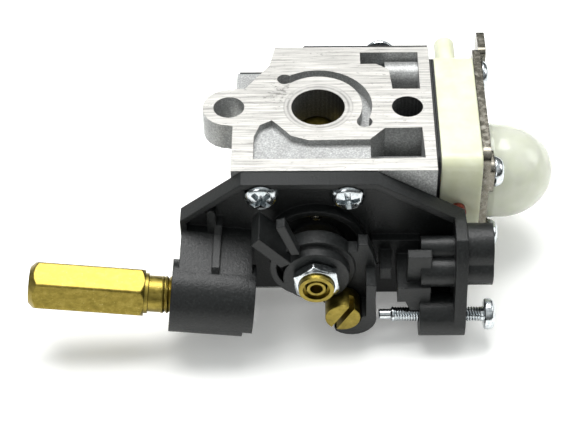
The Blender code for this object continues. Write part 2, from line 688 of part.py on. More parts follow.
def make_metering_layers():
    """The gasket with its round window, and the diaphragm with the button that moves the lever."""
    centre = (CHAMBER_Y, CHAMBER_Z)
    gasket = slab("metering_gasket", "X", stack_outline(0.1), GASKET_X, FINISH["gasket"])
    cut(gasket, rod("gasket_window", "X", centre, CHAMBER_RADIUS, (19, 21.5), None, 32))
    stack_holes(gasket)
    diaphragm = slab("metering_diaphragm", "X", stack_outline(0.1), DIAPHRAGM_X, FINISH["rubber"])
    join(diaphragm, rod("button", "X", centre, 2.0, (19.6, 20.5), None, 16))
    stack_holes(diaphragm)


def make_purge_body():
    """The moulded purge body: chambers on both faces, a valve passage and two hose nipples."""
    body = slab("purge_body", "X", stack_outline(), PURGE_X, FINISH["ivory"])
    bores = []
    for number, z in enumerate((24.6, 5.0)):
        at = (NIPPLE_X, z)
        join(body, rod(f"nipple_{number}", "Y", at, NIPPLE_RADIUS, (14.5, NIPPLE_END)))
        bores.append(rod(f"nipple_bore_{number}", "Y", at, 0.9, (9, NIPPLE_END + 1), None, 12))
    centre = (BULB_Y, BULB_Z)
    cut(
        body,
        *bores,
        rod("vent_chamber", "X", (CHAMBER_Y, CHAMBER_Z), CHAMBER_RADIUS, (20, 22.4), None, 32),
        rod("bulb_seat", "X", centre, BULB_SEAT_RADIUS, (26.15, 28.5), None, 36),
        rod("valve_pocket", "X", centre, 4.2, (24.3, 27), None, 24),
        rod("valve_hole", "X", centre, 1.25, (22, 25), None, 12),
    )
    stack_holes(body)


def make_retainer():
    """The steel plate that clamps the bulb, with a joggled tab that reaches past the back."""
    low, high = (-12.0, 0.9), (14.5, 28.5)
    plate = slab("retainer_plate", "X", rounded(low, high, 2.2), PLATE_X, FINISH["steel"])
    raised = (PLATE_X[1] - 0.3, PLATE_X[1] + PAD_HEIGHT)
    join(
        plate,
        slab("ear", "X", rounded((10.0, 18.5), (16.6, 28.5), 1.2), PLATE_X),
        slab("tab", "X", rounded((15.4, 18.5), (21.6, 28.5), 1.2), TAB_X),
    )
    for number, (y, z) in enumerate((STACK_SCREWS[0], STACK_SCREWS[3])):
        pad = rounded((low[0], z - 3.2), (y + 3.0, z + 3.2), 1.6)
        join(plate, slab(f"pad_{number}", "X", pad, raised))
    cut(plate, rod("bulb_window", "X", (BULB_Y, BULB_Z), BULB_RADIUS + RUN, (27, 31), None, 36))
    stack_holes(plate)


def make_bulb():
    """The primer bulb: a hollow dome on a flange."""
    outer, inner = BULB_RADIUS, BULB_RADIUS - BULB_WALL
    start, length = BULB_DOME_X, BULB_TIP - BULB_DOME_X
    dome = [(0.0, BULB_TIP)]
    for i in range(1, 7):
        angle = math.radians(90 - 90 * i / 6)
        dome.append((outer * math.cos(angle), start + length * math.sin(angle)))
    hollow = []
    for i in range(6, -1, -1):
        angle = math.radians(90 - 90 * i / 6)
        hollow.append((inner * math.cos(angle), start + (length - BULB_WALL) * math.sin(angle)))
    rim = BULB_SEAT_RADIUS - RUN
    flange = [(outer, 27.65), (rim, 27.65), (rim, 26.4), (inner, 26.4)]
    profile = dome + flange + hollow[:-1] + [(0.0, BULB_TIP - BULB_WALL)]
    bulb = turned("primer_bulb", "X", (BULB_Y, BULB_Z), profile, FINISH["bulb"], 24)
    pivot_at(bulb, 26.4, BULB_Y, BULB_Z)


def make_check_valve():
    """The mushroom-shaped rubber valve under the bulb."""
    centre = (BULB_Y, BULB_Z)
    profile = [(0, 25.7), (2.6, 25.3), (3.4, 24.7), (0.95, 24.7), (0.95, 23.0), (0, 23.0)]
    turned("purge_valve", "X", centre, profile, FINISH["rubber"], 20)


def make_metering_lever():
    """The lever on its pin, the inlet needle that it works and the spring under it."""
    steel, brass = FINISH["steel"], FINISH["brass"]
    pin_at = (LEVER_PIN_X, LEVER_PIN_Z)
    lever = box(
        "metering_lever",
        (LEVER_PIN_X + 1.4, LEVER_Y - 1.3, NEEDLE_Z - 1.2),
        (LEVER_PIN_X + 2.0, LEVER_Y + 1.3, 18.6),
        steel,
    )
    join(
        lever,
        rod("lever_barrel", "Y", pin_at, 1.7, (LEVER_Y - 1.3, LEVER_Y + 1.3), None, 16),
        box("lever_tip", (19.0, CHAMBER_Y - 0.8, 13.7), (19.45, LEVER_Y, 15.3)),
    )
    cut(lever, rod("pin_hole", "Y", pin_at, 0.75, (0, 15), None, 12))
    pivot_at(lever, LEVER_PIN_X, LEVER_Y, LEVER_PIN_Z)
    rod("lever_pin", "Y", pin_at, 0.6, (4.6, 10.2), steel, 12)
    centre = (LEVER_Y, NEEDLE_Z)
    tip = [(0, 18.3), (1.1, 18.3), (1.1, 12.4), (0.15, 10.4), (0, 10.4)]
    needle = turned("inlet_needle", "X", centre, tip, brass, 16)
    pivot_at(needle, 15, LEVER_Y, NEEDLE_Z)
    coil("lever_spring", "X", (LEVER_Y, 16.6), 0.95, 0.4, (14.4, 18.3), 4, steel)


def make_pump_side():
    """Gasket, diaphragm and cover on the back face, with one screw."""
    outline = [(-14.6, 1.0), (19.8, 1.0), (19.8, 28.7), (-2.4, 28.7), (-8.4, 22.2), (-14.6, 22.2)]
    cover_outline = [(-14.4, 1.4), (19.6, 1.4), (19.6, 26.6), (-2.6, 26.6), (-8.2, 21.0)]
    cover_outline.append((-14.4, 21.0))
    screw = (PUMP_SCREW_X, PUMP_SCREW_Z)
    gasket = slab("pump_gasket", "Y", outline, PUMP_GASKET_Y, FINISH["gasket"])
    diaphragm = slab("pump_diaphragm", "Y", outline, PUMP_DIAPHRAGM_Y, FINISH["rubber"])
    cover = slab("pump_cover", "Y", cover_outline, PUMP_COVER_Y, FINISH["cover"])
    cut(gasket, rod("pump_window", "Y", PUMP_CHAMBER, PUMP_CHAMBER_RADIUS, (15, 18), None, 28))
    for layer in (gasket, diaphragm, cover):
        cut(layer, rod(layer.name + "_screw", "Y", screw, STACK_HOLE_RADIUS, (15, 20), None, 16))
    cut(cover, rod("cover_chamber", "Y", PUMP_CHAMBER, PUMP_CHAMBER_RADIUS, (16, 17.9), None, 28))
    pan_screw("pump_screw", "Y", screw, PUMP_COVER_Y[1] + GAP, 10.0, STACK_SHANK, PUMP_HEAD, 1.9)


def make_small_pieces():
    """Seal, ball, nozzle, rotor spring, inlet screen and the limiter cap."""
    axis = (ROTOR_X, ROTOR_Z)
    inner = SHAFT_RADIUS + RUN
    seal = [(4.7, -17.4), (4.7, -18.9), (inner, -18.9), (inner, -17.4)]
    turned("shaft_seal", "Y", axis, seal, FINISH["rubber"], 24)
    ball = bmesh.new()
    place = Matrix.Translation(Vector((ROTOR_X, -18.2, ROTOR_Z + 6.2)) * MM)
    bmesh.ops.create_uvsphere(ball, u_segments=12, v_segments=8, radius=0.95 * MM, matrix=place)
    mesh = bpy.data.meshes.new("cam_ball")
    ball.to_mesh(mesh)
    ball.free()
    smooth(mesh)
    add("cam_ball", mesh, FINISH["steel"])
    nozzle = rod("fuel_nozzle", "Y", axis, 1.2, (-0.6, 13.5), FINISH["brass"], 16)
    join(nozzle, rod("nozzle_flange", "Y", axis, 2.3, (13.1, 14.6), None, 20))
    cut(nozzle, rod("nozzle_bore", "Y", axis, 0.85, (-2, 12), None, 12))
    coil("rotor_spring", "Y", axis, 4.6, 0.7, (-16.0, -10.1), 4, FINISH["steel"])
    rod("inlet_screen", "Y", (SCREEN_X, SCREEN_Z), SCREEN_RADIUS, (15.0, 15.5), FINISH["steel"], 20)
    rod("limiter_cap", "Y", (23.9, 18.0), 1.5, (-15.4, -13.85), FINISH["red"], 20, 1.35)


for leftover in list(bpy.data.objects):
    bpy.data.objects.remove(leftover)

PARTS = new_collection("carburetor")
HELPERS = new_collection("cutters")
ROOT = bpy.data.objects.new("frame", None)
PARTS.objects.link(ROOT)
FINISH = {
    "aluminium": material("cast aluminium", (0.62, 0.62, 0.60), 0.38, 1.0),
    "plastic": material("black nylon", (0.018, 0.018, 0.02), 0.5),
    "ivory": material("ivory acetal", (0.86, 0.85, 0.72), 0.45),
    "brass": material("brass", (0.55, 0.43, 0.13), 0.32, 1.0),
    "zinc": material("zinc plate", (0.72, 0.73, 0.75), 0.28, 1.0),
    "steel": material("steel", (0.5, 0.5, 0.5), 0.35, 1.0),
    "cover": material("dark plate", (0.12, 0.12, 0.12), 0.5, 0.4),
    "rubber": material("rubber", (0.03, 0.03, 0.03), 0.7),
    "gasket": material("gasket paper", (0.06, 0.06, 0.06), 0.8),
    "bulb": material("primer bulb", (0.85, 0.85, 0.82), 0.25),
    "red": material("limiter red", (0.25, 0.04, 0.03), 0.4),
}


def settle():
    """Moves the frame so that the assembly stands on Z = 0 with its footprint centred."""
    bpy.context.view_layer.update()
    graph = bpy.context.evaluated_depsgraph_get()
    corners = []
    for obj in PARTS.objects:
        if obj.type == "MESH":
            evaluated = obj.evaluated_get(graph)
            corners += [evaluated.matrix_world @ Vector(corner) for corner in evaluated.bound_box]
    low = Vector(min(corner[i] for corner in corners) for i in range(3))
    high = Vector(max(corner[i] for corner in corners) for i in range(3))
    ROOT.location = (-(low.x + high.x) / 2, -(low.y + high.y) / 2, 0)


def main():
    make_body()
    make_bracket()
    make_rotor()
    make_needle()
    make_lever()
    make_nut()
    make_swivel()
    make_idle_screw()
    make_adjuster()
    make_metering_layers()
    make_purge_body()
    make_retainer()
    make_bulb()
    make_check_valve()
    make_metering_lever()
    make_pump_side()
    make_small_pieces()
    seat = PLATE_Y[0] - GAP
    for number, centre in enumerate(BRACKET_SCREWS, 1):
        name = f"bracket_screw_{number}"
        pan_screw(name, "Y", centre, seat, -10.0, BRACKET_SHANK, BRACKET_HEAD, 1.9)
    for number, centre in enumerate(STACK_SCREWS, 1):
        front = centre[0] < 0
        seat = PLATE_X[1] + GAP + (PAD_HEIGHT if front else 0)
        head = 1.9 if front else 1.4
        name = f"plate_screw_{number}"
        pan_screw(name, "X", centre, seat, 13.0, STACK_SHANK, STACK_HEAD, head)
    settle()


main()
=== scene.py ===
"""A small two-stroke engine's carburetor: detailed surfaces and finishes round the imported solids.

Design coordinates are millimetres from the main bore's axis at the engine flange: X towards the
primer bulb, Y away from the throttle lever, Z up. `placed` turns them into the frame's metres.
"""

import functools
import json
import math

import bmesh
import bpy
import numpy as np
from mathutils import Matrix, Vector


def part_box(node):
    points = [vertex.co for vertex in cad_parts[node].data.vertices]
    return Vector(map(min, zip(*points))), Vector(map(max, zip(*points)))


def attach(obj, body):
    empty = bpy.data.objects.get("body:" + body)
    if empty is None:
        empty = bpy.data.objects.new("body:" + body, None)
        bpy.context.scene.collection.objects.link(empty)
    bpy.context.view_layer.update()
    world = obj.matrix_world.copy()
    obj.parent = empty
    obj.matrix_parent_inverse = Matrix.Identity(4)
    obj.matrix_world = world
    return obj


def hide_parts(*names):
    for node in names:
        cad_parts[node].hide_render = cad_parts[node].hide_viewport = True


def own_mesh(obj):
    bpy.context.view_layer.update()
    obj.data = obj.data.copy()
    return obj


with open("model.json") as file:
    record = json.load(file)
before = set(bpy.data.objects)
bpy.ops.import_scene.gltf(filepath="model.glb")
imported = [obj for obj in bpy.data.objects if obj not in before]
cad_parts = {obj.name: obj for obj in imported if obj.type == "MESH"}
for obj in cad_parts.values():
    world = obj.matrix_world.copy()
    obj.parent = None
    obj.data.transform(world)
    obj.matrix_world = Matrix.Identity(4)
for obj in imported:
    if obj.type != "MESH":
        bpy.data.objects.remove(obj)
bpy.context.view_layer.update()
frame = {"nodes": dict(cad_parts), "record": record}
MM = 0.001

# The casting's lowest corner at rest lies this far left of the bore and in front of it.
EAR_REACH = 20.1
BODY_FRONT = 16.0
SHIFT = np.array(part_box("body")[0]) / MM + np.array((EAR_REACH, BODY_FRONT, 0.0))

HEIGHT = 29.0
BORE_RADIUS = 4.65
BOLT_RADIUS = 2.7
BOLT_X = 15.5
ROTOR_X, ROTOR_Z = -0.45, 14.5
SWIVEL_X, SWIVEL_Z = 4.0, 7.1
CABLE_Y = -27.0
CABLE_TILT = math.radians(6.5)
IDLE_Z = 5.3
BULB_Y, BULB_Z = -0.9, 14.5

# Where a coordinate across an axis, another across it and one along it go in x, y, z.
ORDER = {"X": (2, 0, 1), "Y": (0, 2, 1), "Z": (0, 1, 2)}


def placed(points):
    """Design millimetres to the frame's metres."""
    return (np.asarray(points, float).reshape(-1, 3) + SHIFT) * MM


def along(axis, u, v, w):
    """Points at (u, v) across an axis and w along it, as an array of x, y, z."""
    stacked = np.stack(np.broadcast_arrays(u, v, w), axis=-1)
    return stacked[..., ORDER[axis]]


def tilted(points):
    """The points turned by the cable's tilt about the swivel, onto its sloping line."""
    x, y, z = (points[..., i] for i in range(3))
    c, s = math.cos(CABLE_TILT), math.sin(CABLE_TILT)
    dx, dz = x - SWIVEL_X, z - SWIVEL_Z
    return np.stack((SWIVEL_X + dx * c + dz * s, y, SWIVEL_Z - dx * s + dz * c), axis=-1)


# ---------------------------------------------------------------- shapes

# Metres: points closer than a seam are joined, and edges shorter than a sliver are removed.
SEAM = 2e-6
SOLID_SEAM = 1e-6
SLIVER = 1e-7


class Shape:
    """Points and faces of one closed surface, in design millimetres."""

    def __init__(self, points, faces):
        self.points = np.asarray(points, float).reshape(-1, 3)
        self.faces = faces

    def moved(self, change):
        return Shape(change(self.points), self.faces)

    def mesh(self, name):
        mesh = bpy.data.meshes.new(name)
        mesh.from_pydata(placed(self.points).tolist(), [], self.faces)
        closed = bmesh.new()
        closed.from_mesh(mesh)
        bmesh.ops.remove_doubles(closed, verts=closed.verts, dist=SEAM)
        bmesh.ops.dissolve_degenerate(closed, edges=closed.edges, dist=SLIVER)
        bmesh.ops.recalc_face_normals(closed, faces=closed.faces)
        closed.to_mesh(mesh)
        closed.free()
        return mesh


def grid_faces(rows, columns, wrap_rows=False, wrap_columns=True):
    """The quads of a grid of points, row after row, wrapped round where it closes on itself."""
    r = np.arange(rows if wrap_rows else rows - 1)
    c = np.arange(columns if wrap_columns else columns - 1)
    r, c = (a.ravel() for a in np.meshgrid(r, c, indexing="ij"))
    r2, c2 = (r + 1) % rows, (c + 1) % columns
    quads = np.stack((r * columns + c, r * columns + c2, r2 * columns + c2, r2 * columns + c), 1)
    return quads.tolist()


def soften(outline, radius, steps=4):
    """An outline with each corner a quadratic curve between points a radius before and after it."""
    p = np.asarray(outline, float)
    before, after = np.roll(p, 1, 0) - p, np.roll(p, -1, 0) - p
    la = np.linalg.norm(before, axis=1, keepdims=True)
    lb = np.linalg.norm(after, axis=1, keepdims=True)
    reach = np.minimum(radius, 0.45 * np.minimum(la, lb))
    start, end = p + before / la * reach, p + after / lb * reach
    s = np.linspace(0, 1, steps + 1)[None, :, None]
    curve = (1 - s) ** 2 * start[:, None] + 2 * s * (1 - s) * p[:, None] + s**2 * end[:, None]
    return curve.reshape(-1, 2)


def box(low, high):
    """A box with sharp edges between two corners: a ring of four points at its foot and one at
    its top."""
    x = np.array([low[0], high[0], high[0], low[0]])
    y = np.array([low[1], low[1], high[1], high[1]])
    rings = [along("Z", x, y, level) for level in (low[2], high[2])]
    return Shape(np.concatenate(rings), grid_faces(2, 4) + [[3, 2, 1, 0], [4, 5, 6, 7]])


def lathe(axis, centre, profile, steps=48, edge=0.2, ring=False):
    """A profile of (radius, place along the axis) turned through a full circle.

    A ring's profile closes on itself. Any other starts and ends on the axis, and those two ends
    stay sharp while every other corner is rounded.
    """
    p = np.asarray(profile, float)
    if edge:
        curved = soften(p, edge, 3).reshape(len(p), -1, 2)
        if not ring:
            curved[0], curved[-1] = p[0], p[-1]
        p = curved.reshape(-1, 2)
    t = np.linspace(0, 2 * math.pi, steps, endpoint=False)
    u = centre[0] + p[:, :1] * np.cos(t)
    v = centre[1] + p[:, :1] * np.sin(t)
    points = along(axis, u, v, p[:, 1:])
    return Shape(points, grid_faces(len(p), steps, wrap_rows=ring))


def ringed(axis, centre, radii, places, angles, bore=()):
    """Rings of radius radii[place, angle] round an axis. With no bore both ends close to a point;
    a bore is (place, radius) steps from the last place back to the first."""
    back = np.array(bore or [(places[-1], 0.0), (places[0], 0.0)])
    r = np.concatenate((radii, back[:, 1:] + 0 * angles))
    w = np.concatenate((places, back[:, 0]))[:, None]
    u = centre[0] + r * np.cos(angles)
    v = centre[1] + r * np.sin(angles)
    return Shape(along(axis, u, v, w), grid_faces(len(r), len(angles), wrap_rows=True))


def hexagon(axis, centre, across, ends, middle, bore=(), chamfer=(0.08, 0.08), slope=1.732):
    """A hexagonal bar. Its radius is half the width over flats divided by the cosine of the angle
    from the nearest flat's middle, up to a slightly blunt corner. A cone cuts each end: it starts
    a share of that half inside the flats and widens by the slope. One flat's middle is at the
    angle `middle`."""
    low, high = ends
    t = np.linspace(0, 2 * math.pi, 144, endpoint=False)
    off = (t - middle + math.pi / 6) % (math.pi / 3) - math.pi / 6
    corner = across / math.sqrt(3) * 0.985
    flat = np.minimum(across / 2 / np.cos(off), corner)
    rise = np.linspace(0, 1, 14) ** 1.4 * min(1.6, (high - low) * 0.45)
    w = np.concatenate((low + rise, high - rise[::-1]))
    start, stop = across / 2 * (1 - chamfer[0]), across / 2 * (1 - chamfer[1])
    column = w[:, None]
    cone = np.minimum(start + (column - low) * slope, stop + (high - column) * slope)
    return ringed(axis, centre, np.minimum(flat, cone), w, t, bore)


def threaded(axis, centre, profile, span, depth, pitch, bore=(), steps=40):
    """A turned rod with a thread: between its corners (place, radius) the profile is straight, and
    along the span it falls by a triangle wave of the place in pitches less the share of a turn."""
    corners = np.asarray(profile, float)
    w = np.arange(span[0], span[1], pitch / 8)
    w = np.unique(np.concatenate((w, corners[:, 0], corners[:, 0] + 0.004)))
    w = w[w <= corners[-1, 0]]
    t = np.linspace(0, 2 * math.pi, steps, endpoint=False)
    phase = (w[:, None] / pitch - t / (2 * math.pi)) % 1
    wave = 1 - np.abs(2 * phase - 1)
    inside = np.clip(np.minimum(w - span[0], span[1] - w) / (pitch * 0.7), 0, 1)[:, None]
    base = np.interp(w, corners[:, 0], corners[:, 1])[:, None]
    return ringed(axis, centre, base - depth * wave * inside, w, t, bore)


def cross_head(axis, centre, seat, away, radius, height, shank, reach, turn=0.0):
    """A pan-head screw. The top is height (1 - 0.35 q^2 - 0.5 q^9), with q the share of the
    radius, less a cross-shaped recess: two arms with sloping sides, each deeper at the middle.

    It stands on a seat along its axis and points away from it, 1 or -1. Its shank reaches the
    other way, and a turn in radians sets the recess."""
    q = np.concatenate((np.linspace(0, 0.97, 52), [0.985, 1.0]))
    t = np.linspace(0, 2 * math.pi, 160, endpoint=False)
    top = height * (1 - 0.35 * q**2 - 0.50 * q**9)[:, None] + 0 * t
    x, y = q[:, None] * radius * np.cos(t - turn), q[:, None] * radius * np.sin(t - turn)
    long, wide, wall = radius * 0.64, radius * 0.10, radius * 0.06
    slope, depth = long * 0.35, height * 0.75

    def arm(a, b):
        across = np.clip((wide + wall - abs(a)) / wall, 0, 1)
        return across * np.clip((long - abs(b)) / slope, 0, 1)

    top = top - depth * np.maximum(arm(x, y), arm(y, x))
    # Below the top: the head's side, its flat underside, the shank and the shank's end.
    rim, foot = (1.0, 0.12 * height), (0.97, 0.0)
    thin = shank / radius
    lower = np.array([rim, foot, (thin, 0.0), (thin, -reach), (0.0, -reach)])
    rings_q = np.concatenate((q, lower[:, 0]))
    rings_w = np.concatenate((top, lower[:, 1:] + 0 * t))
    u = centre[0] + rings_q[:, None] * radius * np.cos(t)
    v = centre[1] + rings_q[:, None] * radius * np.sin(t)
    return Shape(along(axis, u, v, seat + away * rings_w), grid_faces(len(rings_q), len(t)))


# ---------------------------------------------------------------- pieces

CREASE = math.radians(35)
BEVEL_ANGLE = math.radians(32)
FLAT_ANGLE = math.radians(1)


def finish_mesh(obj, node, body=None):
    """Gives a piece a node's finish, slot and body, or another body, and takes the node's place."""
    obj.data.name = obj.name
    obj.data.materials.clear()
    obj.data.materials.append(NODE_FINISHES[node])
    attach(obj, body or BODY_OF[node])
    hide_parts(node)
    return obj


def made(name, shapes, node, cuts=(), body=None):
    """A piece of one or more closed shapes, less the cutters, smooth across its curves."""
    collection = bpy.context.scene.collection
    points = np.concatenate([shape.points for shape in shapes])
    starts = np.cumsum([0] + [len(shape.points) for shape in shapes])
    faces = [
        [i + first for i in face] for shape, first in zip(shapes, starts) for face in shape.faces
    ]
    obj = bpy.data.objects.new(name, Shape(points, faces).mesh(name))
    collection.objects.link(obj)
    helpers = []
    for cutter in cuts:
        helper = bpy.data.objects.new("cutter", cutter.mesh("cutter"))
        collection.objects.link(helper)
        helpers.append(helper)
        boolean = obj.modifiers.new("Cut", "BOOLEAN")
        boolean.operation = "DIFFERENCE"
        boolean.object = helper
        boolean.solver = "MANIFOLD"
    if helpers:
        graph = bpy.context.evaluated_depsgraph_get()
        cut_mesh = bpy.data.meshes.new_from_object(obj.evaluated_get(graph))
        obj.modifiers.clear()
        obj.data = cut_mesh
        for helper in helpers:
            bpy.data.objects.remove(helper)
    obj.data.shade_smooth()
    obj.data.set_sharp_from_angle(angle=CREASE)
    return finish_mesh(obj, node, body)


def refined(node, width=0.0, segments=2, body=None):
    """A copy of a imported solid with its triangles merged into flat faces. Its edges are rounded to
    a width in millimetres, or left alone with none."""
    mesh = frame["nodes"][node].data.copy()
    merged = bmesh.new()
    merged.from_mesh(mesh)
    bmesh.ops.remove_doubles(merged, verts=merged.verts, dist=SOLID_SEAM)
    bmesh.ops.dissolve_limit(
        merged, angle_limit=FLAT_ANGLE, verts=merged.verts, edges=merged.edges
    )
    merged.to_mesh(mesh)
    merged.free()
    mesh.shade_smooth()
    obj = bpy.data.objects.new(f"{node}_refined", mesh)
    bpy.context.scene.collection.objects.link(obj)
    if width:
        bevel = obj.modifiers.new("Rounded edges", "BEVEL")
        bevel.width = width * MM
        bevel.segments = segments
        bevel.limit_method = "ANGLE"
        bevel.angle_limit = BEVEL_ANGLE
        bevel.use_clamp_overlap = True
        bevel.miter_outer = "MITER_ARC"
    weighted = obj.modifiers.new("Flat faces stay flat", "WEIGHTED_NORMAL")
    weighted.keep_sharp = False
    return finish_mesh(obj, node, body)


def shortened(piece):
    """Gives a piece its own copy of its mesh."""
    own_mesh(piece)


# ---------------------------------------------------------------- finishes

# The Mix node's sockets for colours: it has others of the same names for numbers and vectors.
SHARE, FIRST, SECOND, MIXED = 0, 6, 7, 2
EDGE_SAMPLES = 4
SHADER = "Principled BSDF"


def linear(colour):
    """An sRGB hex colour as linear red, green, blue and alpha."""
    value = np.array([int(colour[i : i + 2], 16) for i in (1, 3, 5)]) / 255
    value = np.where(value <= 0.04045, value / 12.92, ((value + 0.055) / 1.055) ** 2.4)
    return (*value.tolist(), 1.0)


def per(size):
    """The scale of a pattern whose features have a size in millimetres."""
    return 1 / (size * MM)


def put(tree, kind, inputs=(), out=0, stops=(), **settings):
    """Adds a node with its settings and links, and gives one of its output sockets.

    Inputs go by name or by place. Each is an output socket that feeds it, an sRGB hex colour or a
    plain value. Stops are the (place, hex colour) pairs of a ramp.
    """
    node = tree.nodes.new(f"ShaderNode{kind}")
    for key, value in settings.items():
        setattr(node, key, value)
    for key, value in inputs.items() if isinstance(inputs, dict) else enumerate(inputs):
        if isinstance(value, bpy.types.NodeSocket):
            tree.links.new(value, node.inputs[key])
        else:
            node.inputs[key].default_value = linear(value) if isinstance(value, str) else value
    for number, (place, colour) in enumerate(stops):
        band = node.color_ramp.elements
        stop = band[number] if number < 2 else band.new(place)
        stop.position, stop.color = place, linear(colour)
    return node.outputs[out]


def start(name, **sockets):
    """A material with its shader's plain values set, its node-adding function and the object's
    coordinates."""
    material = bpy.data.materials.new(name)
    material.use_nodes = True
    for key, value in sockets.items():
        material.node_tree.nodes[SHADER].inputs[key.replace("_", " ")].default_value = value
    add = functools.partial(put, material.node_tree)
    return material, add, add("TexCoord", out="Object")


def surfaced(material, colour, rough=None, height=None, strength=0.0, depth=0.0, edge=0.0):
    """Feeds the shader its colour, its roughness and a bump of a height, over edges that catch
    the light as if they were rounded. The bump's depth and the edge's radius are millimetres."""
    tree = material.node_tree
    fed = {"Base Color": colour}
    if rough is not None:
        fed["Roughness"] = rough
    if height is not None:
        bump = {"Height": height, "Strength": strength, "Distance": depth * MM}
        if edge:
            bump["Normal"] = put(tree, "Bevel", {"Radius": edge * MM}, samples=EDGE_SAMPLES)
        fed["Normal"] = put(tree, "Bump", bump)
    for key, socket in fed.items():
        tree.links.new(socket, tree.nodes[SHADER].inputs[key])
    return material


def aluminium_finish():
    """Die-cast aluminium. Its top face is milled: bright, with fine lines along X, rings left by
    the cutter round the bore, and a rough patch that the cutter missed. Everything lower is as
    cast: duller grey with a sandy grain, and painted shade, near black, inside the bore and the
    bolt hole."""
    material, add, place = start("die-cast aluminium, milled on top", Metallic=0.45)
    level = add("SeparateXYZ", [place], "Z")
    milled = add("MapRange", [level, (HEIGHT - 0.14) * MM, (HEIGHT - 0.05) * MM])

    # Milling lines are under 0.1 mm wide, and are drawn 0.16 and 0.5 mm wide so that they show.
    longest = add("Mapping", {"Vector": place, "Scale": (1 / 60, 1, 1)})
    fine = add("TexNoise", {"Vector": longest, "Scale": per(0.16), "Detail": 3, "Roughness": 0.6})
    long = add("Mapping", {"Vector": place, "Scale": (1 / 22, 1, 1)})
    lines = add("TexNoise", {"Vector": long, "Scale": per(0.5), "Detail": 6, "Roughness": 0.75})
    greys = [(0.34, "#84827E"), (0.47, "#C6C4BF"), (0.62, "#DDDAD5")]
    bright = add("ValToRGB", [lines], stops=greys)
    hair = add("MapRange", [fine, 0.46, 0.66, 0.0, 0.75])
    hairs = {SHARE: hair, FIRST: bright, SECOND: "#9D9B98"}
    bright = add("Mix", hairs, MIXED, data_type="RGBA")

    # The cutter's rings are 0.8 mm apart, out to 6 mm from the bore's axis, and partly worn away.
    middle = placed((0, 0, 0))[0] * (-1, -1, 0)
    centre = add("Mapping", {"Vector": place, "Location": middle})
    flat = add("VectorMath", [centre, (1, 1, 0)], operation="MULTIPLY")
    radius = add("VectorMath", [flat], "Value", operation="LENGTH")
    uneven = add("TexNoise", {"Vector": place, "Scale": per(2.5), "Detail": 2})
    turned = add("Math", [radius, 8 / MM], operation="MULTIPLY")
    ripple = add("MapRange", [add("Math", [turned], operation="SINE"), -1, 1])
    rings = add("ValToRGB", [ripple], stops=[(0.1, "#8D8C89"), (0.8, "#BAB8B4")])
    near = add("MapRange", [radius, 6.2 * MM, 5.9 * MM])
    worn = add("MapRange", [uneven, 0.35, 0.6, 0.35, 0.9])
    share = add("Math", [near, worn], operation="MULTIPLY")
    ringed_top = {SHARE: share, FIRST: bright, SECOND: rings}
    bright = add("Mix", ringed_top, MIXED, data_type="RGBA")

    # The rough patch is an ellipse about 7 by 10 mm to the left of the bore, with 0.55 mm pits.
    oval = {"Vector": centre, "Location": (2.45, -0.95, 0), "Scale": (360, 260, 0)}
    reach = add("VectorMath", [add("Mapping", oval)], "Value", operation="LENGTH")
    missed = add("Math", [add("MapRange", [reach, 1.25, 0.2]), 0.13], operation="MULTIPLY")
    wide = add("Mapping", {"Vector": place, "Scale": (1 / 1.8, 1, 1)})
    pits = add("TexNoise", {"Vector": wide, "Scale": per(0.55), "Detail": 5, "Roughness": 0.7})
    pitted = add("Math", [pits, missed], operation="ADD")
    pitted = add("MapRange", [pitted, 0.60, 0.72, 0.0, 0.8])
    pitted_top = {SHARE: pitted, FIRST: bright, SECOND: "#6F6E6A"}
    bright = add("Mix", pitted_top, MIXED, data_type="RGBA")

    # Sand grain of 0.3 mm with stains 4 mm wide, and painted shade, near black, in the bore
    # and the bolt hole.
    grain = add("TexNoise", {"Vector": place, "Scale": per(0.30), "Detail": 4, "Roughness": 0.6})
    greys = [(0.3, "#8A8B8A"), (0.5, "#A2A3A2"), (0.68, "#C6C7C6")]
    cast = add("ValToRGB", [grain], stops=greys)
    stain = add("TexNoise", {"Vector": place, "Scale": per(4.0), "Detail": 3})
    stain = add("MapRange", [stain, 0.45, 0.7, 0.0, 0.35])
    # Painted shade: the wall inside the bore is coloured near black.
    inside, rim = (BORE_RADIUS - 0.05) * MM, (BORE_RADIUS + 0.12) * MM
    painted_bore_shade = add("MapRange", [radius, rim, inside, 0.0, 0.93])
    bolt = add("VectorMath", [flat, (BOLT_X * MM, 0, 0)], "Value", operation="DISTANCE")
    # Painted shade: the wall inside the bolt hole is coloured near black.
    inside, rim = (BOLT_RADIUS - 0.05) * MM, (BOLT_RADIUS + 0.12) * MM
    painted_bolt_hole_shade = add("MapRange", [bolt, rim, inside, 0.0, 0.9])
    # The stains are the casting's own colour; the two near blacks are painted shade.
    for share, stain_and_painted_shade in ((stain, "#737270"), (painted_bore_shade, "#121211"), (painted_bolt_hole_shade, "#161615")):
        cast = add("Mix", {SHARE: share, FIRST: cast, SECOND: stain_and_painted_shade}, MIXED, data_type="RGBA")

    both = {SHARE: milled, FIRST: cast, SECOND: bright}
    colour = add("Mix", both, MIXED, data_type="RGBA")
    rough = add("MapRange", [milled, 0, 1, 0.42, 0.36])
    sand = add("ValToRGB", [grain], stops=[(0, "#000000"), (1, "#FFFFFF")])
    both = {SHARE: milled, FIRST: sand, SECOND: lines}
    height = add("Mix", both, MIXED, data_type="RGBA")
    return surfaced(material, colour, rough, height, 0.45, 0.04, 0.12)


